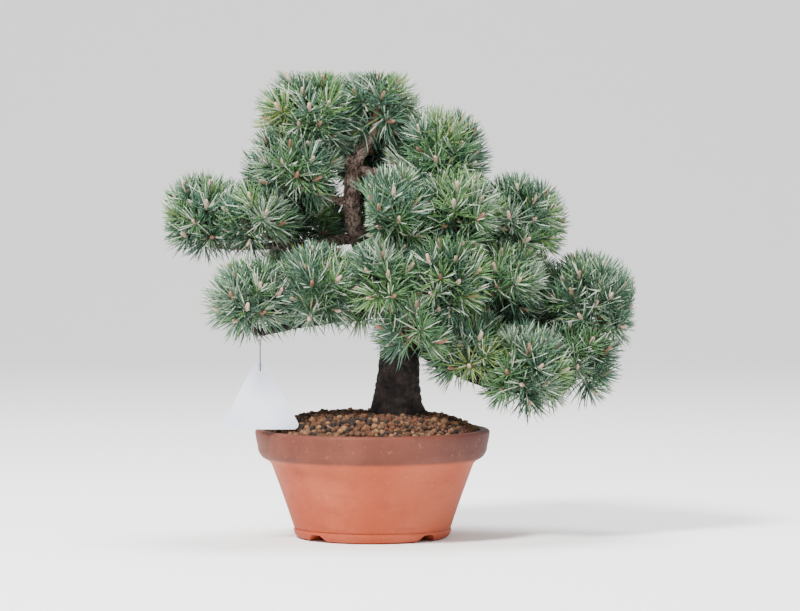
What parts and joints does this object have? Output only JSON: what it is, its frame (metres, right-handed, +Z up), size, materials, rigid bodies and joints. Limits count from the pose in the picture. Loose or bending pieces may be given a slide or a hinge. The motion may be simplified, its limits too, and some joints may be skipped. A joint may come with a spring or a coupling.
{
  "type": "potted pine bonsai",
  "caption": "Short-needled black pine bonsai with a curved trunk and spreading layered crown, in a round unglazed clay pot, with a blank plastic tag on a wire.",
  "frame": {"origin": "middle of the whole outline seen from above, at the level of the pot's feet", "axes": "+Z up, +Y away from the tree's front, +X to the right of someone who looks at the front"},
  "size_m": [0.4252, 0.2113, 0.4187],
  "materials": {
    "clay": "matt unglazed terracotta",
    "soil": "rough granular clay",
    "bark": "rough flaky bark",
    "needles": "semi-matt pine needles",
    "white_plastic": "smooth white sheet",
    "wire": "dark coated wire"
  },
  "bodies": {
    "root": {"pot": "clay", "soil": "soil", "trunk": "bark", "tag": "white_plastic", "tag_wire": "wire", "bough_crown_left": "bark", "bough_crown_right": "bark", "bough_crown_back": "bark", "bough_upper_left": "bark", "bough_left_tip": "bark", "bough_left_inner": "bark", "bough_left_back": "bark", "bough_middle_front": "bark", "bough_middle_right": "bark", "bough_right_tip": "bark", "bough_middle_back": "bark", "bough_right_back": "bark", "bough_low_left_tip": "bark", "bough_low_left_mid": "bark", "bough_low_left_back": "bark", "bough_low_front": "bark", "bough_low_front_foot": "bark", "bough_low_back": "bark", "bough_right_front": "bark", "bough_right_middle": "bark", "bough_far_right": "bark", "bough_far_right_back": "bark", "bough_low_right_back": "bark", "bough_low_right_inner": "bark", "bough_low_right_mid": "bark", "bough_low_right_tip": "bark", "foliage_crown_top": "needles", "foliage_crown_left": "needles", "foliage_crown_right": "needles", "foliage_crown_back": "needles", "foliage_upper_left": "needles", "foliage_left_tip": "needles", "foliage_left_inner": "needles", "foliage_left_back": "needles", "foliage_middle_front": "needles", "foliage_middle_right": "needles", "foliage_right_tip": "needles", "foliage_middle_back": "needles", "foliage_right_back": "needles", "foliage_low_left_tip": "needles", "foliage_low_left_mid": "needles", "foliage_low_left_back": "needles", "foliage_low_front": "needles", "foliage_low_front_foot": "needles", "foliage_low_back": "needles", "foliage_right_front": "needles", "foliage_right_middle": "needles", "foliage_far_right": "needles", "foliage_far_right_back": "needles", "foliage_low_right_back": "needles", "foliage_low_right_inner": "needles", "foliage_low_right_mid": "needles", "foliage_low_right_tip": "needles"}
  },
  "joints": []
}
